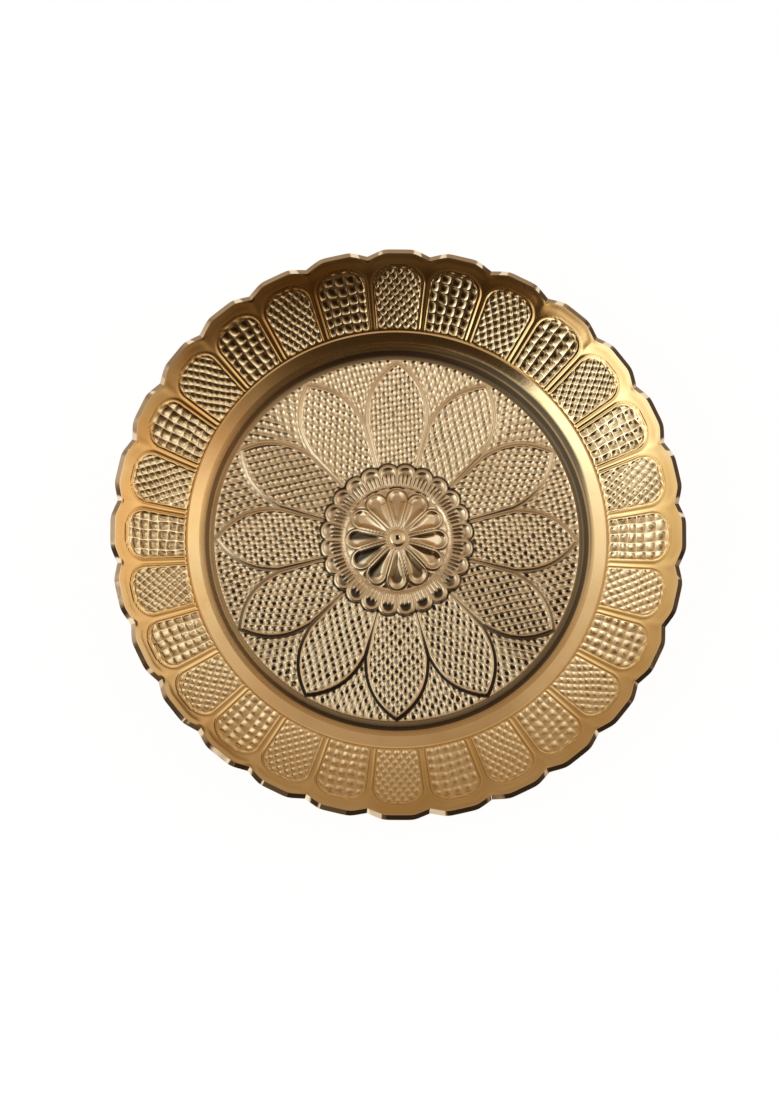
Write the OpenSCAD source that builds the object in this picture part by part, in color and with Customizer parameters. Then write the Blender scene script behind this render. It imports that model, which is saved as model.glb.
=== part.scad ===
// Pressed brass thali: a scalloped dish, an embossed lotus medallion that lies in its well,
// and the rivet that holds the two together through the middle of the rosette.
// Millimetres, Z up, origin on the table under the middle of the plate.

/* [Dish] */
// Diameter over the flats of the scallops
plate_d = 203; // [190:1:240]
// Height of the rim's crest above the table
plate_h = 21; // [17:0.5:26]
// Thickness of the dish's sheet
sheet_t = 0.8; // [0.6:0.1:1.1]
// Height of the dish's upper face where the wall has turned into the flange
shoulder_h = 4.3; // [3.6:0.1:6]
// How far the flange hollows below a straight cone
flange_hollow = 1.3; // [0.3:0.1:1.8]

/* [Scalloped edge] */
// Number of scallops, and of petals on the flange
scallops = 28; // [20:4:36]
// How far the notches between scallops reach in
scallop_depth = 1.9; // [1:0.1:3]
// Width of the bevelled lip outside the crest
lip_w = 1.95; // [1.2:0.05:3]
// Drop of the lip from the crest to its edge
lip_drop = 1.6; // [0.6:0.1:2.2]

/* [Flange petals] */
// Plain band between the wall and the foot of the petals
band_w = 4.4; // [2.5:0.1:6]
// Plain border between the petals' tips and the crest
border_w = 3.8; // [3:0.1:7]
// Length of a petal's round arch
arch_h = 6.2; // [4:0.1:9]
// Plain rib between two petals
petal_gap = 2.4; // [1.5:0.1:4]

/* [Well] */
// Diameter of the flat at the foot of the wall
well_d = 132.8; // [122:0.4:140]
// Width of the steep wall, seen from above
wall_w = 1.9; // [1.5:0.1:4]
// Width of the shoulder above the wall, which turns into the flange
round_w = 2.5; // [1:0.1:3.5]
// Width of the flat ring that stands on the table
foot_w = 6.4; // [4:0.2:8]
// Lift of the floor inside the foot ring
floor_lift = 0.6; // [0.3:0.1:1]

/* [Medallion] */
// Gap between the medallion's edge and the foot of the wall
medallion_gap = 1.6; // [1:0.1:3]
// Thickness of the medallion's sheet
medallion_t = 0.7; // [0.5:0.1:1]
// Height of the domed rosette above the medallion's face
dome_h = 4.2; // [3:0.1:6]
// Diameter of the rosette's dome
dome_d = 36.4; // [30:0.2:42]
// Width of the ring of small petals round the dome
small_ring_w = 8.5; // [6:0.1:10]
// Number of large lotus petals
lotus_petals = 12; // [8:2:16]
// Margin between the large petals' tips and the medallion's edge
lotus_margin = 1.5; // [1:0.1:4]
// Length over which a large petal narrows to its tip
lotus_taper = 20.6; // [14:0.1:24]
// How full a large petal stays before it narrows, as the power of the curve of its sides
lotus_fullness = 2.9; // [1.5:0.1:4]
// Height of the embossed lines
relief_h = 0.4; // [0.2:0.05:0.6]
// Width of the embossed lines
relief_w = 0.7; // [0.5:0.05:0.9]

/* [Rivet] */
// Diameter of the rivet's head
rivet_head_d = 6.2; // [5:0.1:7]
// Height of the rivet's head
rivet_head_h = 1.3; // [0.8:0.1:2]
// Diameter of the rivet's shank
rivet_d = 3; // [2:0.1:3.6]

/* [Hidden] */
$fn = 96;

gold = [0.80, 0.62, 0.33];
pale_gold = [0.72, 0.60, 0.42];
rivet_gold = [0.76, 0.63, 0.42];

plate_r = plate_d / 2;
full_turn = 360;
scallop_pitch = full_turn / scallops;
lotus_pitch = full_turn / lotus_petals;
small_petals = 2 * lotus_petals;
small_pitch = full_turn / small_petals;

// Half of each scallop's flat stretch, as a share of the pitch
flat_half_share = 0.24;
flat_half = flat_half_share * scallop_pitch;

// Clearance round the rivet's shank
rivet_clearance = 0.1;
// How far embossed lines and the lip are rooted in the sheet below them
root_depth = 0.2;
lip_root = 0.6;
// The flange's sheet ends this far inside the crest, and the lip makes the crest itself
crest_seam = 0.1;

// Width of the groove at the foot of the flange's petals, and its depth
groove_w = 0.9;
groove_depth = 0.25;

// Width of the slope from the foot ring up to the lifted floor
lift_slope_w = 1.5;
// Flat seat of the rivet's head on the dome
seat_r = rivet_head_d / 2 + relief_w;
// Rivet boss in the floor: flat round the seat, then a slope
boss_margin = 0.85;
boss_slope_w = 4.4;
boss_top_r = seat_r + boss_margin;

floor_z = floor_lift + sheet_t;
medallion_z = floor_z + medallion_t;
dome_top_z = medallion_z + dome_h;
boss_z = dome_top_z - medallion_t;

well_r = well_d / 2;
wall_top_r = well_r + wall_w;
shoulder_r = wall_top_r + round_w;
medallion_r = well_r - medallion_gap;
dome_r = dome_d / 2;
small_ring_r = dome_r + small_ring_w;
lotus_tip_r = medallion_r - lotus_margin;
lotus_side_r = lotus_tip_r - lotus_taper;

// Crest of the rim at the two corners of a scallop's flat, where it is highest
crest_r = (plate_r - lip_w) / cos(flat_half);

// Circles of the flange's petals: their foot, the end of their straight sides, and their tips
petal_base_r = shoulder_r + band_w;
petal_tip_r = plate_r - lip_w - border_w;
petal_side_r = petal_tip_r - arch_h;

// The wall's top lies this share of the way up to the flange, and the shoulder bends between them
wall_top_share = 0.6;
round_r_share = 0.44;
round_z_share = 0.5;
wall_top_z = sheet_t + wall_top_share * (shoulder_h - sheet_t);

flange_steps = 7;
dome_steps = 6;
arch_steps = 5;

function polar(r, a) = [r * cos(a), r * sin(a)];
function degrees_of(length, r) = length / r * 180 / PI;
function reverse(list) = [for (i = [len(list) - 1:-1:0]) list[i]];
function unit(v) = v / norm(v);

// Height of the flange's upper face: a straight cone, hollowed by a parabola that is deepest midway
function flange_share(r) = (r - shoulder_r) / (crest_r - shoulder_r);
function hollow_share(r) = 4 * flange_share(r) * (1 - flange_share(r));
function flange_z(r) = shoulder_h + (plate_h - shoulder_h) * flange_share(r)
    - flange_hollow * hollow_share(r);

// Height of the medallion's upper face: a parabolic dome in the middle of a flat disc
function dome_z(r) = medallion_z + dome_h * max(0, 1 - pow(max(0, r - seat_r) / (dome_r - seat_r), 2));

// The other face of a sheet whose upper face follows a line of points, both of even thickness
function turn_left(v) = [-v[1], v[0]];
function edge_normal(line, i) = turn_left(unit(line[i + 1] - line[i]));
function point_normal(line, i) =
    i == 0 ? edge_normal(line, 0) :
    i == len(line) - 1 ? edge_normal(line, i - 1) :
    let (a = edge_normal(line, i - 1), b = edge_normal(line, i), m = unit(a + b)) m / (m * a);
function shifted(line, distance) =
    [for (i = [0:len(line) - 1]) line[i] + distance * point_normal(line, i)];
module sheet(line, thickness) {
    rotate_extrude() polygon(concat(line, reverse(shifted(line, -thickness))));
}

// A thin layer that lies on a face, for embossed lines to be cut from
module relief_layer(line) {
    rotate_extrude() polygon(concat(shifted(line, relief_h), reverse(shifted(line, -root_depth))));
}

// Upper face of the dish from the rivet's hole to past the crest
hole_r = rivet_d / 2 + rivet_clearance;
foot_inner_r = well_r - foot_w;
flange_line = [for (i = [0:flange_steps])
    let (r = shoulder_r + (plate_r - shoulder_r) * i / flange_steps) [r, flange_z(r)]];
floor_line = [
    [hole_r, boss_z],
    [boss_top_r, boss_z],
    [boss_top_r + boss_slope_w, floor_z],
    [foot_inner_r - lift_slope_w, floor_z],
    [foot_inner_r, sheet_t],
    [well_r, sheet_t],
    [wall_top_r, wall_top_z],
    [wall_top_r + round_r_share * (shoulder_r - wall_top_r),
     wall_top_z + round_z_share * (shoulder_h - wall_top_z)]
];

// Outline of the scallops, three straight stretches each, moved in by an inset
function scallop_corner_r(inset) = (plate_r - inset) / cos(flat_half);
function scallop_notch_r(inset) = plate_r - scallop_depth - inset;
function scallop_ring(inset) = [for (i = [0:scallops - 1])
    let (a = i * scallop_pitch)
    each [[scallop_corner_r(inset), a - flat_half], [scallop_corner_r(inset), a + flat_half],
          [scallop_notch_r(inset), a + scallop_pitch / 2]]];
function flat_ring(ring) = [for (p = ring) polar(p[0], p[1])];

// The bevelled lip: a bent strip along the scallops, rooted in the edge of the flange
function lifted_ring(ring, heights) = [for (i = [0:len(ring) - 1])
    let (p = polar(ring[i][0], ring[i][1])) [p[0], p[1], heights[i]]];
module scalloped_lip() {
    inner = scallop_ring(lip_w + lip_root);
    crest = scallop_ring(lip_w);
    edge = scallop_ring(0);
    count = len(crest);
    crest_z = [for (p = crest) flange_z(p[0])];
    inner_z = [for (p = inner) flange_z(p[0])];
    loops = [
        lifted_ring(inner, [for (z = inner_z) z - root_depth]),
        lifted_ring(crest, crest_z),
        lifted_ring(edge, [for (z = crest_z) z - lip_drop]),
        lifted_ring(edge, [for (z = crest_z) z - lip_drop - sheet_t]),
        lifted_ring(crest, [for (z = crest_z) z - sheet_t]),
        lifted_ring(inner, [for (z = inner_z) z - sheet_t])
    ];
    sides = len(loops);
    faces = [for (s = [0:sides - 1], i = [0:count - 1])
        let (a = s * count + i, b = s * count + (i + 1) % count,
             c = (s + 1) % sides * count + (i + 1) % count, d = (s + 1) % sides * count + i)
        each [[a, b, c], [a, c, d]]];
    polyhedron([for (loop = loops) each loop], faces);
}

// Outline of a petal with radial sides and a round arch, about +X
function arched_petal(base_r, side_r, tip_r, half_angle, inset) =
    let (side = [for (i = [0:arch_steps])
             let (t = 90 * i / arch_steps, r = side_r + (tip_r - inset - side_r) * sin(t))
             [r, (half_angle - degrees_of(inset, r)) * cos(t)]],
         base_a = half_angle - degrees_of(inset, base_r))
    concat([polar(base_r, -base_a)], [for (p = side) polar(p[0], -p[1])],
           [for (i = [arch_steps - 1:-1:0]) polar(side[i][0], side[i][1])], [polar(base_r, base_a)]);

// An embossed line along such a petal's sides and arch, open at its base
module arched_outline(base_r, side_r, tip_r, half_angle) {
    difference() {
        polygon(arched_petal(base_r, side_r, tip_r, half_angle, 0));
        polygon(arched_petal(base_r - relief_w, side_r, tip_r, half_angle, relief_w));
    }
}

petal_half = scallop_pitch / 2 - degrees_of(petal_gap / 2, petal_side_r);
module flange_petals() {
    intersection() {
        relief_layer(flange_line);
        linear_extrude(plate_h + relief_h)
            for (i = [0:scallops - 1])
                rotate(i * scallop_pitch)
                    arched_outline(petal_base_r, petal_side_r, petal_tip_r, petal_half);
    }
}

// Groove round the flange at the foot of its petals
module petal_groove() {
    outer_r = petal_base_r;
    mid_r = outer_r - groove_w / 2;
    inner_r = outer_r - groove_w;
    rotate_extrude()
        polygon([[inner_r, flange_z(inner_r)], [mid_r, flange_z(mid_r) - groove_depth],
                 [outer_r, flange_z(outer_r)], [mid_r, flange_z(mid_r) + groove_depth]]);
}

module dish() {
    color(gold)
    union() {
        difference() {
            intersection() {
                sheet(concat(floor_line, flange_line), sheet_t);
                linear_extrude(plate_h + relief_h)
                    polygon(flat_ring(scallop_ring(lip_w + crest_seam)));
            }
            petal_groove();
        }
        flange_petals();
        scalloped_lip();
    }
}

// Outline of a large pointed petal about +X: radial sides, then a bowed taper to the tip
lotus_steps = 7;
lotus_tip_inset_share = 1.25;
lotus_gap = 0.5;
function lotus_half_angle(r, inset) = lotus_pitch / 2 - degrees_of(lotus_gap / 2 + inset, r);
function lotus_petal(inset) =
    let (base_r = small_ring_r + relief_w, side_r = lotus_side_r,
         tip_r = lotus_tip_r - lotus_tip_inset_share * inset,
         side = [for (i = [0:lotus_steps])
             let (t = i / lotus_steps, r = side_r + (tip_r - side_r) * t)
             [r, lotus_half_angle(side_r, inset) * side_r / r * (1 - pow(t, lotus_fullness))]],
         base_a = lotus_half_angle(base_r, inset))
    concat([polar(base_r, -base_a)], [for (p = side) polar(p[0], -p[1])],
           [for (i = [lotus_steps - 1:-1:0]) polar(side[i][0], side[i][1])], [polar(base_r, base_a)]);
module lotus_outline() {
    difference() {
        polygon(lotus_petal(0));
        polygon(lotus_petal(relief_w));
    }
}

// The small petals and the rosette's petals, each in a ring
small_base_r = dome_r + relief_w;
small_side_share = 0.68;
small_side_r = small_base_r + small_side_share * (small_ring_r - small_base_r);
rosette_side_share = 0.72;
rosette_side_r = seat_r + rosette_side_share * (dome_r - seat_r);
// Neighbours in a ring share one line between them, so their outlines cross by this much
line_overlap = 0.2;
function crossing_half(pitch, r) = pitch / 2 + degrees_of(line_overlap, r);
flutes = 3;
flute_w_share = 0.6;
module flute_bar() {
    length = small_side_r - small_base_r;
    translate([small_base_r, -flute_w_share * relief_w / 2]) square([length, flute_w_share * relief_w]);
}
module lotus_lines() {
    for (i = [0:lotus_petals - 1])
        rotate(i * lotus_pitch) {
            lotus_outline();
            arched_outline(seat_r, rosette_side_r, dome_r, crossing_half(lotus_pitch, rosette_side_r));
        }
    for (i = [0:small_petals - 1])
        rotate(i * small_pitch + small_pitch / 2) {
            arched_outline(small_base_r, small_side_r, small_ring_r, crossing_half(small_pitch, small_side_r));
            for (j = [1:flutes])
                rotate(j * small_pitch / (flutes + 1) - small_pitch / 2) flute_bar();
        }
}

medallion_line = concat(
    [[hole_r, dome_top_z], [seat_r, dome_top_z]],
    [for (i = [1:dome_steps]) let (r = seat_r + (dome_r - seat_r) * i / dome_steps) [r, dome_z(r)]],
    [[medallion_r, medallion_z]]);
module medallion() {
    color(pale_gold)
    union() {
        sheet(medallion_line, medallion_t);
        intersection() {
            relief_layer(medallion_line);
            linear_extrude(dome_top_z + 2 * relief_h) lotus_lines();
        }
    }
}

// Rivet: domed head with a punched middle, shank through both sheets, and a flared tail
dimple_r_share = 0.32;
dimple_depth_share = 0.45;
brim_share = 0.25;
tail_flare = 0.9;
tail_r = rivet_d / 2 + tail_flare;
tail_h = sheet_t;
module centre_rivet() {
    head_r = rivet_head_d / 2;
    dimple_r = dimple_r_share * head_r;
    head_z = dome_top_z;
    tail_z = boss_z - sheet_t;
    crown = [for (i = [0:arch_steps])
        let (t = 90 * i / arch_steps, brim_z = head_z + brim_share * rivet_head_h)
        [dimple_r + (head_r - dimple_r) * cos(t), brim_z + (1 - brim_share) * rivet_head_h * sin(t)]];
    color(rivet_gold)
    rotate_extrude()
        polygon(concat(
            [[0, tail_z - tail_h], [rivet_d / 2, tail_z - tail_h], [tail_r, tail_z], [rivet_d / 2, tail_z],
             [rivet_d / 2, head_z], [head_r, head_z]],
            crown,
            [[0, head_z + (1 - dimple_depth_share) * rivet_head_h]]));
}

dish();
medallion();
centre_rivet();
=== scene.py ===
"""Dresses the pressed brass thali: embossed flange, well, lotus medallion and rivet, in soft studio light."""
import math

import bmesh
import bpy
import numpy as np
from mathutils import Matrix, Vector


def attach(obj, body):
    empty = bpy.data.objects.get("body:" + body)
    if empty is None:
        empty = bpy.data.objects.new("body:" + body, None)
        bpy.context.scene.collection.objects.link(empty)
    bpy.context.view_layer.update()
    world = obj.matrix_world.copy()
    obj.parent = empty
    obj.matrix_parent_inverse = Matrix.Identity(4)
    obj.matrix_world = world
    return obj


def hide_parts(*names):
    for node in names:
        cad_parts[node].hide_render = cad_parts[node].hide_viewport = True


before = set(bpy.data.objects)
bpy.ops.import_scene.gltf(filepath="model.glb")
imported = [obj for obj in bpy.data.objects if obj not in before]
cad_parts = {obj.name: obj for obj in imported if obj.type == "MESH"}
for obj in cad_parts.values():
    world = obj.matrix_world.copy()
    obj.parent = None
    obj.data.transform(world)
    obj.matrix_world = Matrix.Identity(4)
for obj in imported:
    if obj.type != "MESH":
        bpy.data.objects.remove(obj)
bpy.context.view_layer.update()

# Sizes of the plate in millimetres, as its solids have them, but with a narrower lip that falls less
MM = 0.001
PLATE_R, PLATE_H, SHEET_T = 101.5, 21.0, 0.8
SHOULDER_R, SHOULDER_H, FLANGE_HOLLOW = 70.8, 4.3, 1.3
SCALLOPS, SCALLOP_DEPTH, LIP_W, LIP_DROP = 28, 1.9, 1.6, 1.27
PITCH = 2 * math.pi / SCALLOPS
FLAT_HALF = 0.24 * PITCH
CORNER_ROUNDING = 0.32
CREST_R = (PLATE_R - LIP_W) / math.cos(FLAT_HALF)
PETAL_BASE_R, PETAL_SIDE_R, PETAL_TIP_R, PETAL_GAP = 75.2, 89.55, 95.75, 2.4
PETAL_HALF = PITCH / 2 - PETAL_GAP / 2 / PETAL_SIDE_R
SEAM_R, GROOVE_DEPTH = 74.75, 0.25
WELL_R, WALL_TOP_R, WALL_TOP_Z, BEND_R, BEND_Z = 66.4, 68.3, 2.6, 70.3, 4.12
FOOT_INNER_R, FLOOR_Z = 60.0, 1.4
MEDALLION_R, MEDALLION_T, MEDALLION_Z = 64.8, 0.7, 2.1
SEAT_R, DOME_R, DOME_H = 3.8, 18.2, 4.2
SMALL_RING_R, LOTUS_SIDE_R, LOTUS_TIP_R, LOTUS_FULLNESS = 26.7, 42.7, 63.3, 2.9
HOLE_R, BOSS_R, BOSS_SLOPE_W, BOSS_Z = 1.6, 4.65, 4.4, 5.6

# Curves that the pieces share


def smooth(x, lo, hi):
    """0 up to lo, 1 from hi on, and a soft step between them."""
    t = np.clip((x - lo) / (hi - lo), 0, 1)
    return t * t * (3 - 2 * t)


def line_at(d, centre, width):
    """A soft line: 1 in its middle, fading over its width."""
    return np.exp(-((d - centre) / width) ** 2)


def folded(angle, pitch, start=0.0):
    """Angle from the middle of the nearest of the shapes that repeat every pitch."""
    return (angle - start + pitch / 2) % pitch - pitch / 2


def flange_z(r):
    """Height of the flange's plain face: a cone, hollowed between the shoulder and the crest."""
    share = (r - SHOULDER_R) / (CREST_R - SHOULDER_R)
    return SHOULDER_H + (PLATE_H - SHOULDER_H) * share - FLANGE_HOLLOW * 4 * share * (1 - share)


def scallop_r(turn, inset):
    """Radius of the scalloped outline, moved in by inset, at an angle from a scallop's middle."""
    a = np.abs(turn)
    corner_r, notch_r = (PLATE_R - inset) / math.cos(FLAT_HALF), PLATE_R - SCALLOP_DEPTH - inset
    corner_x, corner_y = corner_r * math.cos(FLAT_HALF), corner_r * math.sin(FLAT_HALF)
    run_x = notch_r * math.cos(PITCH / 2) - corner_x
    run_y = notch_r * math.sin(PITCH / 2) - corner_y
    slanted = (run_x * corner_y - run_y * corner_x) / (run_x * np.sin(a) - run_y * np.cos(a))
    flat = (PLATE_R - inset) / np.cos(a)
    both = sum(np.exp(-(side - PLATE_R) / CORNER_ROUNDING) for side in (flat, slanted))
    return PLATE_R - CORNER_ROUNDING * np.log(both)


# Shares of a hatched pit's depth: from both families of lines together, and from either alone
CROSSED, ALONE = 0.7, 0.3


def knurl(line_a, line_b, sharp, bias):
    """Pits between two crossing families of raised lines, one line to each whole number; 1 is deepest."""
    one, other = (np.abs(np.sin(math.pi * line)) ** sharp for line in (line_a, line_b))
    return CROSSED * one * other + bias * one + (ALONE - bias) * other


def lines(forward, sideways, degrees, pitch):
    """Counts the lines of one family, whose normal is turned from the forward direction."""
    turned = math.radians(degrees)
    return (forward * math.cos(turned) + sideways * math.sin(turned)) / pitch


# Three slow waves that never meet in the same way: share of x, share of y, share of the phase, start
SWELLS = ((0.83, 0.41, 1.0, 0.0), (-0.37, 1.13, 2.1, 1.7), (1.31, -0.77, 3.3, 4.1))


def uneven(x, y, pitch, phase=0.0):
    """A slow, irregular swell between -1 and 1, for hand-cut lines and uneven stamping."""
    k = 2 * math.pi / pitch
    return sum(np.sin(k * (a * x + b * y) + c * phase + start) for a, b, c, start in SWELLS) / len(SWELLS)


# Meshes

MERGE_DISTANCE = 2e-6


def vertex_places(mesh):
    places = np.empty(len(mesh.vertices) * 3, np.float32)
    mesh.vertices.foreach_get("co", places)
    return places.reshape(-1, 3)


def add_marks(mesh, marks):
    """Writes each mark as an attribute of the vertices, for the brass to read."""
    for mark, values in marks.items():
        layer = mesh.attributes.new(mark, "FLOAT", "POINT")
        layer.data.foreach_set("value", values.astype(np.float32))


def grid_mesh(name, columns, rows, size):
    bm = bmesh.new()
    bmesh.ops.create_grid(bm, x_segments=columns, y_segments=rows, size=size)
    mesh = bpy.data.meshes.new(name)
    bm.to_mesh(mesh)
    bm.free()
    return mesh


def grid_piece(name, columns, rows, place):
    """A grid of columns by rows, bent into shape by place(column, row), with its marks as attributes."""
    mesh = grid_mesh(name, columns, rows, 0.5)
    flat = vertex_places(mesh).astype(float)
    column = np.round((flat[:, 0] + 0.5) * columns).astype(int)
    row = np.round((flat[:, 1] + 0.5) * rows).astype(int)
    places, marks = place(column, row)
    mesh.vertices.foreach_set("co", (places * MM).astype(np.float32).ravel())
    add_marks(mesh, marks)
    mesh.update()
    return mesh


def finished(name, mesh, material):
    """Merges doubles, turns faces outwards, sets the edges marked as sharp and makes the object."""
    bm = bmesh.new()
    bm.from_mesh(mesh)
    bmesh.ops.remove_doubles(bm, verts=bm.verts, dist=MERGE_DISTANCE)
    bmesh.ops.recalc_face_normals(bm, faces=bm.faces)
    for face in bm.faces:
        face.smooth = True
    sharp = bm.verts.layers.float["sharp"]
    for edge in bm.edges:
        edge.smooth = not all(vert[sharp] > 0.5 for vert in edge.verts)
    bm.to_mesh(mesh)
    bm.free()
    mesh.materials.clear()
    mesh.materials.append(material)
    obj = bpy.data.objects.new(name, mesh)
    bpy.context.scene.collection.objects.link(obj)
    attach(obj, "root")
    return obj


# Node trees


class Socket:
    """A node's output that can be used in sums."""

    def __init__(self, tree, link):
        self.tree, self.link = tree, link

    def _math(self, operation, *values):
        return self.tree.add("ShaderNodeMath", {"operation": operation}, dict(enumerate(values)))

    def __add__(self, other):
        return self._math("ADD", self, other)

    def __sub__(self, other):
        return self._math("SUBTRACT", self, other)

    def __rsub__(self, other):
        return self._math("SUBTRACT", other, self)

    def __mul__(self, other):
        return self._math("MULTIPLY", self, other)

    def __truediv__(self, other):
        return self._math("DIVIDE", self, other)

    __radd__, __rmul__ = __add__, __mul__

    def output(self, key):
        """Another output of the same node."""
        return Socket(self.tree, self.link.node.outputs[key])

    def clamped(self, lo=0.0, hi=1.0):
        return self._math("MAXIMUM", self._math("MINIMUM", self, hi), lo)

    def wave(self):
        """The absolute sine of half a turn for each whole step."""
        return self._math("ABSOLUTE", self._math("SINE", self * math.pi))

    def or_more(self, other):
        return self._math("MAXIMUM", self, other)

    def root(self):
        return self._math("SQRT", self)

    def fraction(self):
        return self._math("FRACT", self)

    def angle_from(self, other):
        return self._math("ARCTAN2", self, other)

    def eased(self, lo, hi):
        return self.tree.add("ShaderNodeMapRange", {"interpolation_type": "SMOOTHSTEP"},
                             {"Value": self, "From Min": lo, "From Max": hi})


# Sockets of a Mix node for colours, several of which share one name
MIX_FACTOR, MIX_A, MIX_B, MIX_COLOUR = 0, 6, 7, 2


class Tree:
    """Adds nodes to a material's or the world's node tree."""

    def __init__(self, owner):
        owner.use_nodes = True
        self.nodes, self.links = owner.node_tree.nodes, owner.node_tree.links
        self.nodes.clear()

    def add(self, kind, settings=None, inputs=None, output=0):
        """Adds a node, makes its settings, then sets or links its inputs, and gives one of its outputs."""
        node = self.nodes.new(kind)
        for key, value in (settings or {}).items():
            if key == "stops":
                self.set_stops(node.color_ramp, value)
            else:
                setattr(node, key, value)
        for key, value in (inputs or {}).items():
            if isinstance(value, Socket):
                self.links.new(value.link, node.inputs[key])
            else:
                node.inputs[key].default_value = value
        return Socket(self, node.outputs[output]) if len(node.outputs) else node

    def set_stops(self, ramp, stops):
        while len(ramp.elements) < len(stops):
            ramp.elements.new(0.5)
        for element, (place, shade) in zip(ramp.elements, stops):
            element.position = place
            element.color = (shade, shade, shade, 1.0)

    def mixed(self, factor, a, b):
        return self.add("ShaderNodeMix", {"data_type": "RGBA"}, {MIX_FACTOR: factor, MIX_A: a, MIX_B: b},
                        MIX_COLOUR)

    def ramp(self, value, stops):
        return self.add("ShaderNodeValToRGB", {"stops": stops}, {0: value})

    def parts(self, vector):
        first = self.add("ShaderNodeSeparateXYZ", None, {0: vector})
        return [first.output(axis) for axis in "XYZ"]

    def joined(self, x, y, z):
        return self.add("ShaderNodeCombineXYZ", None, {0: x, 1: y, 2: z})

    def mark(self, name):
        return self.add("ShaderNodeAttribute", {"attribute_name": name}, output="Fac")

    def noise(self, place, scale, detail, roughness=0.55):
        return self.add("ShaderNodeTexNoise", None,
                        {"Vector": place, "Scale": scale, "Detail": detail, "Roughness": roughness})


# Brass

# Scales of the noise in the brass, to the metre
CLOUD_SCALE, SPOT_SCALE, GRAIN_SCALE, AMBER_SCALE, BLOW_SCALE = 34.0, 210.0, 800.0, 26.0, 430.0
RING_SCALE, RING_DRIFT = 2600, 8
AMBER_COLOUR, POLISHED_COLOUR = (0.80, 0.38, 0.10, 1), (0.84, 0.68, 0.47, 1)
PALE_FIELD = (0.92, 0.71, 0.43)
BUMP_STRENGTH, BUMP_H = 0.45, 0.10 * MM
# Radii in millimetres over which the painted shade in the rivet's dimple fades
PUNCH_LO, PUNCH_HI = 0.55, 1.0


def hatch_cells(tree, place):
    """The floors of the cells between the hatched lines, and the dark spots in some of them."""
    cell = tree.mark("line_a").wave() * tree.mark("line_b").wave()
    blow = tree.noise(place, BLOW_SCALE, 1.0) - 0.5
    return cell.eased(0.06, 0.34), (cell + blow * 1.7).eased(0.68, 0.98)


def brass(name, polished, worn, pit, roughness, turned=0.0, front_shade=0.0, pale=PALE_FIELD,
          pit_darkness=0.7, pit_roughness=0.12, amber=0.0, dimple_shade=0.0):
    """Brass with dark oxide and painted shade in its pits, paler hatched fields, clouds of tarnish, grain and
    ring scratches.

    turned is the strength of the ring scratches, front_shade how much painted shade dulls the plate's front,
    amber the strength of the amber clouds at the back left, and punched the darkness of the painted shade in
    the dimple in the plate's middle.
    """
    material = bpy.data.materials.new(name)
    tree = Tree(material)
    place = tree.add("ShaderNodeTexCoord", output="Object")
    x, y, _ = tree.parts(place)
    radius = (x * x + y * y).root()
    clouds = tree.noise(place, CLOUD_SCALE, 4.0)
    spots = tree.noise(place, SPOT_SCALE, 2.0).eased(0.60, 0.80)
    grain = tree.noise(place, GRAIN_SCALE, 3.0, 0.6)
    rings = tree.noise(tree.joined(radius * RING_SCALE, x * RING_DRIFT, y * RING_DRIFT), 1.0, 2.0, 0.6)
    amber_clouds = tree.noise(place, AMBER_SCALE, 3.0).eased(0.38, 0.62) * (0.35 + (y - x) * 5.0).clamped()
    # Clouds, spots and ring scratches turn the brass towards its worn colour at random; the term in y is
    # painted shade, duller towards the plate's front
    dull_and_front_shade = clouds.eased(0.38, 0.70) + spots * 0.35 + (rings - 0.5) * turned + (0.62 - y * 6) * front_shade

    hatched, lip = tree.mark("hatched"), tree.mark("polished")
    cell_floor, dark_spot = hatch_cells(tree, place)
    # Dark oxide and painted shade on the floors of the hatching's cells and in some dark spots
    pit_patina_and_shade = (cell_floor * 0.55 + dark_spot * 0.5 * pit_darkness) * (pit_darkness + clouds * 0.3) * hatched
    # Painted shade in the dimple at the rivet's middle
    dimple_shade_mask = (1 - (radius * (1 / MM)).eased(PUNCH_LO, PUNCH_HI)) * dimple_shade
    patina = tree.mark("patina").or_more(pit_patina_and_shade).or_more(dimple_shade_mask)

    colour = tree.mixed(dull_and_front_shade.clamped(), (*polished, 1), (*worn, 1))
    colour = tree.mixed(amber_clouds * amber, colour, AMBER_COLOUR)
    colour = tree.mixed(hatched, colour, (*pale, 1))
    colour = tree.mixed(patina.eased(0.30, 1.0), colour, (*pit, 1))
    colour = tree.mixed(lip, colour, POLISHED_COLOUR)
    rough = roughness + (clouds - 0.5) * 0.10 + spots * 0.06 + (grain - 0.5) * 0.05 + patina * pit_roughness
    rough = (rough * (1 - lip * 0.6)).clamped(0.05, 0.9)
    height = grain * 0.2 + rings * turned * 0.2 - cell_floor * hatched
    bump = tree.add("ShaderNodeBump", None, {"Strength": BUMP_STRENGTH, "Distance": BUMP_H, "Height": height})
    shader = tree.add("ShaderNodeBsdfPrincipled", None,
                      {"Base Color": colour, "Metallic": 1.0, "Roughness": rough, "Normal": bump})
    tree.add("ShaderNodeOutputMaterial", None, {"Surface": shader})
    return material


flange_brass = brass("flange_brass", polished=(0.92, 0.62, 0.27), worn=(0.82, 0.52, 0.19),
                     pit=(0.20, 0.11, 0.04), roughness=0.12, turned=0.25, pale=(0.94, 0.72, 0.41), amber=0.75)
well_brass = brass("well_brass", polished=(0.87, 0.61, 0.30), worn=(0.76, 0.50, 0.22),
                   pit=(0.13, 0.095, 0.06), roughness=0.13, turned=0.6, pit_roughness=0.34, amber=0.6)
medallion_brass = brass("medallion_brass", polished=(0.90, 0.70, 0.44), worn=(0.66, 0.48, 0.28),
                        pit=(0.035, 0.022, 0.014), roughness=0.17, front_shade=0.75,
                        pale=(0.91, 0.72, 0.45), pit_darkness=1.0, pit_roughness=0.30)
rivet_brass = brass("rivet_brass", polished=(0.86, 0.66, 0.40), worn=(0.74, 0.54, 0.30),
                    pit=(0.05, 0.035, 0.025), roughness=0.18, dimple_shade=1.0)

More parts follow.
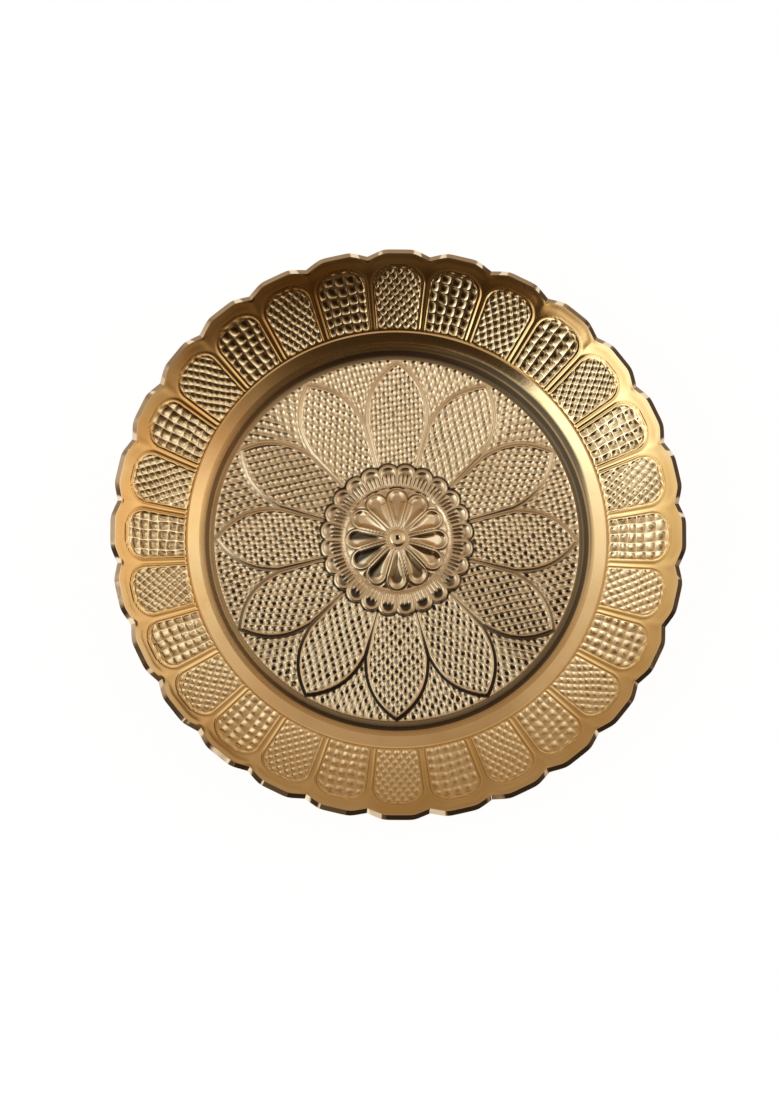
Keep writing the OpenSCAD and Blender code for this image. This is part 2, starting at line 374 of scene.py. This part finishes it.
# Flange: 50 columns to a scallop; rows run over the top, the lip, the edge and back underneath
SCALLOP_COLUMNS = 50
FLANGE_COLUMNS = SCALLOPS * SCALLOP_COLUMNS
BAND_ROWS, PETAL_ROWS, BORDER_ROWS, LIP_ROWS, BACK_ROWS = 1, 45, 7, 2, 14
PETAL_LAST = BAND_ROWS + PETAL_ROWS
CREST_ROW = PETAL_LAST + BORDER_ROWS
LIP_ROW = CREST_ROW + LIP_ROWS
EDGE_ROW = LIP_ROW + 1
FLANGE_ROWS = EDGE_ROW + BACK_ROWS + 1
LIP_BACK_SHARE = 0.1

# Heights, depths and widths of the embossing in millimetres
ARCH_FULLNESS, TIP_MARGIN = 2.3, 0.4
PANEL_H, RIDGE_H, RIB_H, OUTLINE_DEPTH, FLANGE_PIT_DEPTH = 0.16, 0.16, 0.18, 0.22, 0.60
OUTLINE_W, RIDGE_INSET, RIDGE_W = 0.34, 0.55, 0.32
BEAD_H, BEAD_INSET, BEAD_W = 0.05, 1.6, 0.85
DENT_DEPTH, DENT_W = 0.10, 1.3

# Hatching, measured in the photograph: squares to a petal's width and their length in every other petal,
# and in the rest two families of lines by the angle of their normal in degrees and their pitch
SQUARES, SQUARE_LENGTH = 5, 3.2
FLANGE_DIAMONDS = ((-57, 2.41), (43, 2.16))

# The lip falls less towards a notch, and more in the left facets of the scallops at the front
NOTCH_EASE, FRONT_BEND = 0.25, 0.35


def petal_depth(turn, r):
    """How far inside a flange petal's outline a point lies, in millimetres; negative outside."""
    across = np.abs(turn) / PETAL_HALF
    half_w = PETAL_HALF * PETAL_SIDE_R
    up = np.maximum(r - PETAL_SIDE_R, 0) / (PETAL_TIP_R - PETAL_SIDE_R)
    arch = (across ** ARCH_FULLNESS + up ** ARCH_FULLNESS) ** (1 / ARCH_FULLNESS)
    return np.where(r > PETAL_SIDE_R, (1 - arch) * half_w, (1 - across) * PETAL_HALF * r)


def flange_hatching(index, turn, r, x, y):
    """The two families of lines in a flange petal: squares in every other one, diamonds in the rest."""
    along, side = r - PETAL_BASE_R, turn * r
    sway = 0.22 * uneven(x, y, 17.0) + 0.10 * uneven(x, y, 6.0, 1.0)
    squares = index % 2 == 0
    column = turn / PETAL_HALF * SQUARES / 2 + SQUARES / 2
    diamond_a, diamond_b = (lines(along, side, degrees, pitch) for degrees, pitch in FLANGE_DIAMONDS)
    line_a = np.where(squares, column + 0.55 * sway, diamond_a + 0.5 * sway)
    line_b = np.where(squares, along / SQUARE_LENGTH + 0.8 * sway, diamond_b + 0.4 * sway)
    return squares, line_a, line_b


def flange_relief(index, turn, r, x, y):
    """Height of the flange's embossing over its plain face, and the marks for its brass."""
    depth = petal_depth(turn, r)
    outline = line_at(depth, 0.0, OUTLINE_W)
    ridge = line_at(depth, RIDGE_INSET, RIDGE_W) * (1 - 0.5 * smooth(r, 92.5, 95.2))
    rib = smooth(-depth, 0.3, 1.0) * (1 - smooth(r, PETAL_SIDE_R, PETAL_TIP_R))
    inner = smooth(depth, 0.6, 1.1) * smooth(r, PETAL_BASE_R + 0.2, PETAL_BASE_R + 0.7)
    squares, line_a, line_b = flange_hatching(index, turn, r, x, y)
    pits = knurl(line_a, line_b, 1.1, 0.2) * inner
    stamp = 1 + 0.22 * uneven(x, y, 23.0, 2.0)
    height = (PANEL_H * smooth(depth, 0.0, 0.6) + RIDGE_H * ridge + RIB_H * rib - OUTLINE_DEPTH * outline
              - FLANGE_PIT_DEPTH * pits * stamp)
    fade = smooth(r, PETAL_BASE_R - 0.05, PETAL_BASE_R + 0.35)
    # Painted shade in the pits and along the outlines, deepest at the back and most in the squared petals, a
    # little deeper at the front, where the hatched fields are also less pale
    at_back, at_front = smooth(y, 35, 75), smooth(-y, 50, 80)
    pit_shade = 0.4 + (0.5 + 0.3 * squares) * at_back + 0.25 * at_front
    marks = {"patina": np.clip(pit_shade * pits + 0.8 * outline, 0, 1) * fade,
             "hatched": inner * fade * (1 - 0.3 * at_front), "line_a": line_a, "line_b": line_b}
    return height * fade, marks


def flange_top(row, index, turn, angle, crest):
    """Radius, height and marks on the upper face, from the seam to the crest."""
    share = np.clip((row - BAND_ROWS) / PETAL_ROWS, 0, 1)
    r = np.where(row < BAND_ROWS, SEAM_R, PETAL_BASE_R + (PETAL_TIP_R + TIP_MARGIN - PETAL_BASE_R) * share)
    border = np.clip((row - PETAL_LAST) / BORDER_ROWS, 0, 1)
    r = r + (crest - r) * border
    relief, marks = flange_relief(index, turn, r, r * np.cos(angle), r * np.sin(angle))
    inset = crest - r
    notch_side = (PITCH / 2 - np.abs(turn)) * r
    bead = BEAD_H * line_at(inset, BEAD_INSET, BEAD_W) * smooth(inset, 0, 0.8) * smooth(notch_side, 0.5, 4.0)
    dent = DENT_DEPTH * line_at(notch_side, 0, DENT_W)
    dent = dent * smooth(r, PETAL_SIDE_R, PETAL_TIP_R + 1.5) * smooth(inset, 0, 1.0)
    relief = relief * (row >= BAND_ROWS) * (1 - smooth(border, 0, 0.6)) + bead - dent
    z = flange_z(r) - np.where(row == 0, GROOVE_DEPTH, 0) + relief * (row <= CREST_ROW)
    return r, z, marks


def lip_fall(turn, angle):
    """How far the lip falls from the crest to the plate's edge."""
    towards_notch = smooth(np.abs(turn), FLAT_HALF, PITCH / 2)
    front_left = smooth(-turn, FLAT_HALF, PITCH / 2) * smooth(-np.sin(angle), 0.80, 0.93)
    front_left = front_left * smooth(np.cos(angle), -0.15, -0.02)
    return LIP_DROP * (1 - NOTCH_EASE * towards_notch + FRONT_BEND * front_left)


def flange_back(row, turn, crest, edge, fall):
    """Radius and height on the sheet's edge and its underside."""
    share = np.clip((row - EDGE_ROW) / BACK_ROWS, 0, 1)
    under_lip = share < LIP_BACK_SHARE
    r = np.where(under_lip, edge + (crest - edge) * share / LIP_BACK_SHARE,
                 crest + (SEAM_R - crest) * (share - LIP_BACK_SHARE) / (1 - LIP_BACK_SHARE))
    z = np.where(under_lip, flange_z(crest) - fall * (1 - share / LIP_BACK_SHARE), flange_z(r)) - SHEET_T
    return r, z + PANEL_H * smooth(petal_depth(turn, r), -0.4, 0.6) * smooth(r, 75.5, 77)


def place_flange(column, row):
    """Places and marks of the flange's grid."""
    angle = column * 2 * math.pi / FLANGE_COLUMNS
    index = np.round(angle / PITCH).astype(int) % SCALLOPS
    turn = folded(angle, PITCH)
    crest, edge, fall = scallop_r(turn, LIP_W), scallop_r(turn, 0.0), lip_fall(turn, angle)
    top_r, top_z, marks = flange_top(row, index, turn, angle, crest)
    back_r, back_z = flange_back(row, turn, crest, edge, fall)
    lip = np.clip((row - CREST_ROW) / LIP_ROWS, 0, 1)
    under, last = row >= EDGE_ROW, row == FLANGE_ROWS
    r = np.where(under, back_r, top_r + (edge - crest) * lip)
    z = np.where(under, back_z, top_z - fall * lip)
    r = np.where(last, SEAM_R, r)
    z = np.where(last, flange_z(SEAM_R) - GROOVE_DEPTH, z)
    for mark in ("patina", "hatched"):
        marks[mark] = np.where(under, 0.0, marks[mark])
    marks["polished"] = smooth(row, CREST_ROW - 1, CREST_ROW) * ~under
    notch = column % SCALLOP_COLUMNS == SCALLOP_COLUMNS // 2
    creased = (row == 0) | (row == CREST_ROW) | (row == LIP_ROW) | (row == EDGE_ROW) | last
    marks["sharp"] = (creased | (notch & (row >= CREST_ROW) & (row <= EDGE_ROW))).astype(float)
    return np.c_[r * np.cos(angle), r * np.sin(angle), z], marks


plate_flange = finished("plate_flange", grid_piece("plate_flange", FLANGE_COLUMNS, FLANGE_ROWS, place_flange),
                        flange_brass)

# Well: floor, boss, foot ring, wall and shoulder, spun round the plate's axis
WELL_STEPS, CORNER_STEPS = 256, 5
FLANGE_FOOT_RADII = (71.6, 72.4, 73.2, 73.9, 74.3)
FOOT_SLOPE_R = 58.5
UNDER_WALL_R, UNDER_FOOT_R, UNDER_SLOPE_R, UNDER_BOSS_R = 66.8, 59.7, 58.2, 9.4
UPPER_ROUNDING, LOWER_ROUNDING = 0.7, 1.0
SEAM_MARGIN = 0.02


def rounded(points, radius):
    """The points of a line with its inner corners rounded."""
    out = [points[0]]
    for before, corner, after in zip(points, points[1:], points[2:]):
        corner, before, after = np.array(corner), np.array(before), np.array(after)
        a, b = before - corner, after - corner
        reach = min(radius, 0.45 * np.linalg.norm(a), 0.45 * np.linalg.norm(b))
        start = corner + a / np.linalg.norm(a) * reach
        end = corner + b / np.linalg.norm(b) * reach
        for i in range(CORNER_STEPS + 1):
            t = i / CORNER_STEPS
            out.append(tuple((1 - t) ** 2 * start + 2 * t * (1 - t) * corner + t * t * end))
    return out + [points[-1]]


def well_profile():
    """The closed outline of the well's sheet: its upper face outwards, then its underside inwards."""
    upper = rounded([(HOLE_R, BOSS_Z), (BOSS_R, BOSS_Z), (BOSS_R + BOSS_SLOPE_W, FLOOR_Z),
                     (FOOT_SLOPE_R, FLOOR_Z), (FOOT_INNER_R, SHEET_T), (WELL_R, SHEET_T),
                     (WALL_TOP_R, WALL_TOP_Z), (BEND_R, BEND_Z), (SHOULDER_R, SHOULDER_H)]
                    + [(r, flange_z(r)) for r in FLANGE_FOOT_RADII], UPPER_ROUNDING)
    lower = rounded([(SEAM_R, flange_z(SEAM_R) - SHEET_T), (SHOULDER_R, SHOULDER_H - 0.9),
                     (BEND_R, BEND_Z - 1.0), (WALL_TOP_R + 0.2, WALL_TOP_Z - 1.2), (UNDER_WALL_R, 0.0),
                     (UNDER_FOOT_R, 0.0), (UNDER_SLOPE_R, FLOOR_Z - SHEET_T),
                     (UNDER_BOSS_R, FLOOR_Z - SHEET_T), (BOSS_R, BOSS_Z - SHEET_T),
                     (HOLE_R, BOSS_Z - SHEET_T)], LOWER_ROUNDING)
    return upper + [(SEAM_R, flange_z(SEAM_R) - GROOVE_DEPTH)] + lower


def spun(name, profile, steps):
    """A closed profile of radii and heights, turned once round the plate's axis."""
    bm = bmesh.new()
    verts = [bm.verts.new((r * MM, 0, z * MM)) for r, z in profile]
    edges = [bm.edges.new((verts[i], verts[(i + 1) % len(verts)])) for i in range(len(verts))]
    bmesh.ops.spin(bm, geom=verts + edges, cent=(0, 0, 0), axis=(0, 0, 1), angle=2 * math.pi,
                   steps=steps, use_merge=True)
    mesh = bpy.data.meshes.new(name)
    bm.to_mesh(mesh)
    bm.free()
    return mesh


def well_marks(x, y):
    """Dark oxide and painted shade on the wall, painted shade at its top and on the bend, darker at the back
    right, and a dark line in the seam; and the two seams' edges.
    """
    r = np.hypot(x, y)
    wall = 0.86 * smooth(r, 63.8, 64.6) * (1 - smooth(r, 67.9, 68.7)) * (1 - 0.2 * smooth(-x, 15, 60))
    # Painted shade at the wall's top and on the bend, darkest at the back right
    wall_top = (0.60 + 0.4 * smooth(x + y, 30, 80)) * line_at(r, 69.2, 0.8)
    bend = 0.7 * smooth(x + y, 78, 96) * line_at(r, BEND_R, 0.7)
    seam = 0.6 * line_at(r, SEAM_R, 0.35)
    at_seam = (r > SEAM_R - SEAM_MARGIN) | (r < HOLE_R + SEAM_MARGIN)
    return {"patina": np.clip(wall + wall_top + bend + seam, 0, 1), "sharp": at_seam}


well_mesh = spun("plate_well", well_profile(), WELL_STEPS)
well_places = vertex_places(well_mesh) / MM
add_marks(well_mesh, well_marks(well_places[:, 0], well_places[:, 1]))
plate_well = finished("plate_well", well_mesh, well_brass)
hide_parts("dish")

# Medallion: a square grid drawn out into a disc, embossed, with its rim turned down and closed below
MEDALLION_SIDE = 310
LOTUS_PITCH, SMALL_PITCH = math.pi / 6, math.pi / 12
SMALL_SIDE_R, CUP_SIDE_R = 23.6, 13.6
FLUTES = 4
SMALL_H, SMALL_RIM_H, SMALL_CUP_DEPTH, FLUTE_H = 0.46, 0.14, 0.62, 0.34
LOTUS_H, LOTUS_RIM_H, LOTUS_PIT_DEPTH, LOTUS_GROOVE_W = 0.50, 0.14, 0.62, 0.8
CUP_RIM_H, CUP_DEPTH, VALLEY_DEPTH, CREASE_DEPTH = 0.42, 0.95, 0.10, 0.45

# Hatching, measured in the photograph: the angle of each family's normal in degrees and its pitch
PETAL_DIAMONDS = ((-47, 2.57), (57, 2.22))
FIELD_DIAMONDS = ((-56, 2.53), (56, 2.53))
SWAY_SHARES = (0.45, 0.3)


def lotus_depth(turn, r):
    """How far inside a large petal's outline a point lies; negative in the lines and spandrels."""
    half = LOTUS_PITCH / 2
    groove_half = 0.5 + 0.4 * smooth(r, 30, LOTUS_SIDE_R)
    base_w = LOTUS_SIDE_R * half - LOTUS_GROOVE_W
    taper = LOTUS_TIP_R - LOTUS_SIDE_R
    t = np.clip((r - LOTUS_SIDE_R) / taper, 0, 1.3)
    width = np.where(r < LOTUS_SIDE_R, r * half - groove_half, base_w * (1 - t ** LOTUS_FULLNESS))
    slope = base_w / taper * LOTUS_FULLNESS * t ** (LOTUS_FULLNESS - 1)
    return (width - np.abs(turn) * r) / np.sqrt(1 + slope ** 2)


def ring_petal_depth(turn, half, r, side_r, tip_r):
    """The same for a petal with radial sides and a round end."""
    across = np.abs(turn) / half
    arch = np.sqrt(across ** 2 + (np.maximum(r - side_r, 0) / (tip_r - side_r)) ** 2)
    return np.where(r > side_r, (1 - arch) * (tip_r - side_r), (1 - across) * half * r)


def off_dome(r):
    return smooth(r, DOME_R - 0.8, DOME_R + 1.6)


def towards_front(angle):
    return smooth(-np.sin(angle), 0.35, 0.8)


def small_ring(r, angle):
    """Height and painted shade of the ring of small fluted petals, and the depth inside their outlines."""
    turn, front = folded(angle, SMALL_PITCH, SMALL_PITCH / 2), towards_front(angle)
    depth = ring_petal_depth(turn, SMALL_PITCH / 2, r, SMALL_SIDE_R, SMALL_RING_R)
    flute = np.cos(turn / SMALL_PITCH * FLUTES * 2 * math.pi) * (1 - smooth(r, 22.6, 24.2))
    flute = flute * smooth(r, DOME_R + 1.0, DOME_R + 2.4)
    height = (SMALL_H * smooth(depth, -0.7, 0.15) + SMALL_RIM_H * line_at(depth, 0.35, 0.3)
              - SMALL_CUP_DEPTH * smooth(depth, 0.4, 1.8) * smooth(r, 22.4, 24.6)
              + FLUTE_H * flute * smooth(depth, 0.1, 0.6))
    # Painted shade in the petals' cups, darker at the front, in the flutes' grooves, lighter at the front,
    # and along the outlines
    pits = ((0.6 + 0.4 * front) * smooth(r, 22.0, 23.9) * smooth(depth, 0.7, 1.3)
            + (1.2 - 0.5 * front) * np.clip(-flute, 0, 1) + 1.1 * line_at(depth, -0.7, 0.5))
    return off_dome(r) * height, off_dome(r) * pits, depth


def lotus_field(r, angle, small_depth):
    """Height, dark oxide and painted shade, and hatching of the large petals and the fields between them."""
    x, y = r * np.cos(angle), r * np.sin(angle)
    turn = folded(angle, LOTUS_PITCH)
    depth = lotus_depth(turn, r)
    in_field = smooth(r, 22.0, 23.0) * (1 - smooth(small_depth, -1.0, -0.5))
    inner = smooth(depth, 0.3, 0.75)
    outer = smooth(-depth, 1.3, 1.8) * (1 - smooth(r, MEDALLION_R - 0.6, MEDALLION_R - 0.2))
    away, side = r * np.cos(turn), r * np.sin(turn)
    between = folded(angle, LOTUS_PITCH, LOTUS_PITCH / 2) * r
    sway = 0.20 * uneven(x, y, 19.0) + 0.10 * uneven(x, y, 6.5, 1.0)
    in_petal = depth > -0.2
    line_a, line_b = (np.where(in_petal, lines(away, side, *petal), lines(r, between, *field)) + share * sway
                      for petal, field, share in zip(PETAL_DIAMONDS, FIELD_DIAMONDS, SWAY_SHARES))
    stamp = 1 + 0.25 * uneven(x, y, 26.0, 2.0)
    hatch = knurl(line_a, line_b, 1.2, 0.24) * (inner + outer) * stamp
    height = (LOTUS_H * smooth(depth, -0.7, 0.1) + LOTUS_RIM_H * line_at(depth, 0.2, 0.3)
              - LOTUS_PIT_DEPTH * hatch)
    # Painted shade along the petals' outlines, a little darker towards the front; dark oxide and painted
    # shade in the hatching's pits
    outline = (1 - smooth(depth, -0.3, 0.05)) * smooth(depth, -1.8, -1.25) * (0.8 + 0.2 * smooth(-y, 25, 45))
    pits = in_field * np.clip(0.5 * hatch + outline, 0, 1)
    marks = {"hatched": (inner + outer) * in_field, "line_a": line_a, "line_b": line_b}
    return in_field * height, pits, marks


def rosette(r, angle):
    """Height and painted shade of the twelve cupped petals on the dome, darkest in the cups at the left."""
    turn = folded(angle, LOTUS_PITCH)
    depth = ring_petal_depth(turn, LOTUS_PITCH / 2, r, CUP_SIDE_R, DOME_R)
    on_dome = 1 - off_dome(r)
    swell = np.clip(1 - (np.clip(r - SEAT_R, 0, None) / (DOME_R - SEAT_R)) ** 2, 0, 1)
    cup = CUP_RIM_H * line_at(depth, 0.45, 0.42) - CUP_DEPTH * smooth(depth, 0.5, 2.6) * smooth(r, 4.5, 8)
    valley = -VALLEY_DEPTH * (1 - smooth(depth, -0.5, 0.3)) * smooth(r, 12.5, 14.5)
    crease = -CREASE_DEPTH * line_at(depth, -0.1, 0.34)
    height = DOME_H * swell + (cup + valley + crease) * smooth(r, SEAT_R - 0.3, SEAT_R + 0.8)
    # Painted shade in the creases between the petals and in the cups, darkest at the left, on each petal's
    # shaded side and towards the front
    crease_shade = smooth(r, SEAT_R - 0.3, SEAT_R + 0.5) * line_at(depth, -0.1, 0.36)
    left = smooth(np.cos(angle - math.radians(200)), 0.72, 0.9)
    shaded = 0.35 + 0.65 * (1 - smooth(turn * r, -0.4, 1.1))
    in_cup = smooth(depth, 0.5, 1.3) * smooth(r, 4.5, 7.5)
    cup_shade = in_cup * np.clip(left * shaded + 0.4 * towards_front(angle), 0, 1)
    return on_dome * height, on_dome * (crease_shade + cup_shade)


def medallion_relief(r, angle):
    """Height of the medallion's embossing and the marks for its brass, with painted shade deeper in the pits
    and the hatched fields paler towards the front.
    """
    ring_height, ring_shade, small_depth = small_ring(r, angle)
    lotus_height, lotus_patina_and_shade, marks = lotus_field(r, angle, small_depth)
    rosette_height, rosette_shade = rosette(r, angle)
    # More painted shade in the pits and paler hatched fields towards the front
    front_contrast = 0.55 + 0.45 * smooth(-r * np.sin(angle), -30, 45)
    marks["patina"] = np.clip(lotus_patina_and_shade * front_contrast + 0.9 * (ring_shade + rosette_shade), 0, 1)
    marks["hatched"] = marks["hatched"] * front_contrast
    return ring_height + lotus_height + rosette_height, marks


def place_medallion(column, row):
    """Places and marks of the medallion's grid: its squares round the middle become rings."""
    a, b = 2 * column / MEDALLION_SIDE - 1, 2 * row / MEDALLION_SIDE - 1
    wide = np.abs(a) >= np.abs(b)
    ring = np.where(wide, np.abs(a), np.abs(b))
    safe_a, safe_b = (np.where(np.abs(side) < 1e-9, 1e-9, side) for side in (a, b))
    angle = np.where(wide, math.pi / 4 * b / safe_a + np.where(a < 0, math.pi, 0),
                     math.pi / 2 - math.pi / 4 * a / safe_b + np.where(b < 0, math.pi, 0)) % (2 * math.pi)
    r = ring * MEDALLION_R
    height, marks = medallion_relief(r, angle)
    marks["sharp"] = (ring > 1 - 1e-6).astype(float)
    return np.c_[r * np.cos(angle), r * np.sin(angle), MEDALLION_Z + height], marks


def close_below(mesh, z):
    """Turns the rim of an open disc down to a height and closes it there."""
    bm = bmesh.new()
    bm.from_mesh(mesh)
    rim = [edge for edge in bm.edges if edge.is_boundary]
    grown = bmesh.ops.extrude_edge_only(bm, edges=rim)["geom"]
    for part in grown:
        if isinstance(part, bmesh.types.BMVert):
            part.co.z = z
    low_rim = [part for part in grown if isinstance(part, bmesh.types.BMEdge) and part.is_boundary]
    bmesh.ops.poke(bm, faces=bmesh.ops.edgeloop_fill(bm, edges=low_rim)["faces"])
    bm.to_mesh(mesh)
    bm.free()


medallion_mesh = grid_piece("medallion_plate", MEDALLION_SIDE, MEDALLION_SIDE, place_medallion)
close_below(medallion_mesh, (MEDALLION_Z - MEDALLION_T) * MM)
medallion_plate = finished("medallion_plate", medallion_mesh, medallion_brass)
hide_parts("medallion")

# The rivet is the solid's own mesh
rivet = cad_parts["centre_rivet"]
rivet.data.materials.clear()
rivet.data.materials.append(rivet_brass)

# Floor: plain pale paper, just under the plate, white to the camera and to the brass
FLOOR_HALF_M, FLOOR_DROP_M = 6.0, 0.0003
PAPER_COLOUR, WHITE_STRENGTH, WHITE_SHARE = (0.82, 0.82, 0.82, 1), 1.06, 0.90


def paper():
    material = bpy.data.materials.new("paper")
    tree = Tree(material)
    camera_ray = tree.add("ShaderNodeLightPath", output="Is Camera Ray")
    glossy_ray, through_ray = (camera_ray.output(kind) for kind in ("Is Glossy Ray", "Is Transmission Ray"))
    seen = (camera_ray + glossy_ray + through_ray).clamped()
    matt = tree.add("ShaderNodeBsdfDiffuse", None, {"Color": PAPER_COLOUR})
    white = tree.add("ShaderNodeEmission", None, {"Color": (1, 1, 1, 1), "Strength": WHITE_STRENGTH})
    mixed = tree.add("ShaderNodeMixShader", None, {0: seen * WHITE_SHARE, 1: matt, 2: white})
    tree.add("ShaderNodeOutputMaterial", None, {"Surface": mixed})
    return material


floor_mesh = grid_mesh("floor", 1, 1, FLOOR_HALF_M)
floor_mesh.materials.append(paper())
floor = bpy.data.objects.new("floor", floor_mesh)
bpy.context.scene.collection.objects.link(floor)
floor.location.z = -FLOOR_DROP_M

# Studio: a warm room with bright walls left and right, a dark side in front and a pale ceiling.
# Each ramp runs once round from the right, and gives the light at one height.
HORIZON = [(0.0, 0.10), (0.12, 0.10), (0.18, 0.36), (0.25, 0.36), (0.33, 0.42), (0.38, 0.30), (0.43, 0.60),
           (0.50, 0.45), (0.56, 0.07), (0.62, 0.05), (0.64, 0.80), (0.70, 0.80), (0.73, 0.03), (0.92, 0.04),
           (1.0, 0.10)]
LOW_WALL = [(0.0, 1.0), (0.05, 0.95), (0.10, 0.72), (0.15, 0.46), (0.25, 0.34), (0.32, 0.36), (0.39, 0.47),
            (0.47, 0.78), (0.56, 1.1), (0.646, 1.1), (0.658, 0.11), (0.84, 0.11), (0.90, 0.14), (0.95, 0.57),
            (1.0, 1.0)]
HIGH_WALL = [(0.0, 1.2), (0.03, 1.3), (0.10, 0.80), (0.17, 0.52), (0.25, 0.46), (0.31, 0.47), (0.39, 0.72),
             (0.47, 1.10), (0.52, 1.3), (0.55, 1.7), (0.615, 1.7), (0.624, 0.06), (0.72, 0.035),
             (0.82, 0.045), (0.86, 0.09), (0.90, 0.25), (0.95, 0.60), (1.0, 1.2)]
CEILING = 0.61

# Heights over which one ramp passes into the next, and how much higher the lowest pass is on some sides
LOW_PASS, HIGH_PASS, CEILING_PASS = (0.20, 0.25), (0.36, 0.62), (0.84, 0.95)
LIFT_H = 0.10
LIFT = [(0.50, 0.0), (0.55, 1.0), (0.63, 1.0), (0.67, 0.0), (0.72, 0.0), (0.735, 1.8), (0.86, 1.8),
        (0.93, 0.0)]
WARM_GREEN, WARM_BLUE = 0.67, 0.38


def blended(share, low, high):
    return low * (1 - share) + high * share


def add_studio():
    world = bpy.data.worlds.new("studio")
    bpy.context.scene.world = world
    tree = Tree(world)
    x, y, z = tree.parts(tree.add("ShaderNodeTexCoord", output="Generated"))
    turn = (y.angle_from(x) / (2 * math.pi) + 1.0).fraction()
    lifted = z - tree.ramp(turn, LIFT) * LIFT_H
    light = blended(lifted.eased(*LOW_PASS), tree.ramp(turn, HORIZON), tree.ramp(turn, LOW_WALL))
    light = blended(z.eased(*HIGH_PASS), light, tree.ramp(turn, HIGH_WALL))
    light = blended(z.eased(*CEILING_PASS), light, CEILING)
    warm = tree.joined(light, *(light * (least + light * (1 - least)) for least in (WARM_GREEN, WARM_BLUE)))
    background = tree.add("ShaderNodeBackground", None, {"Color": warm, "Strength": 1.0})
    tree.add("ShaderNodeOutputWorld", None, {"Surface": background})


add_studio()

# Camera at the photograph's angle; its place and lens were fitted to the disc and the rim on 780 x 1108
EYE, AIM = (-85.5, -308.93, 2177.29), (-2.35, -4.77, 0.0)
SENSOR_W, PHOTO_W, FOCAL_PIXELS = 36.0, 780, 6194.2
FAR_M = 20.0


def add_camera():
    data = bpy.data.cameras.new("camera")
    data.sensor_fit = "HORIZONTAL"
    data.sensor_width = SENSOR_W
    data.lens = SENSOR_W * FOCAL_PIXELS / PHOTO_W
    data.clip_end = FAR_M
    camera = bpy.data.objects.new("camera", data)
    bpy.context.scene.collection.objects.link(camera)
    eye, aim = Vector(EYE) * MM, Vector(AIM) * MM
    forward = (aim - eye).normalized()
    up = (Vector((0, 1, 0)) - forward * forward.y).normalized()
    right = forward.cross(up)
    camera.matrix_world = Matrix((*((right[i], up[i], -forward[i], eye[i]) for i in range(3)), (0, 0, 0, 1)))
    bpy.context.scene.camera = camera


add_camera()
bpy.context.scene.view_settings.view_transform = "Standard"

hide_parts("dish")
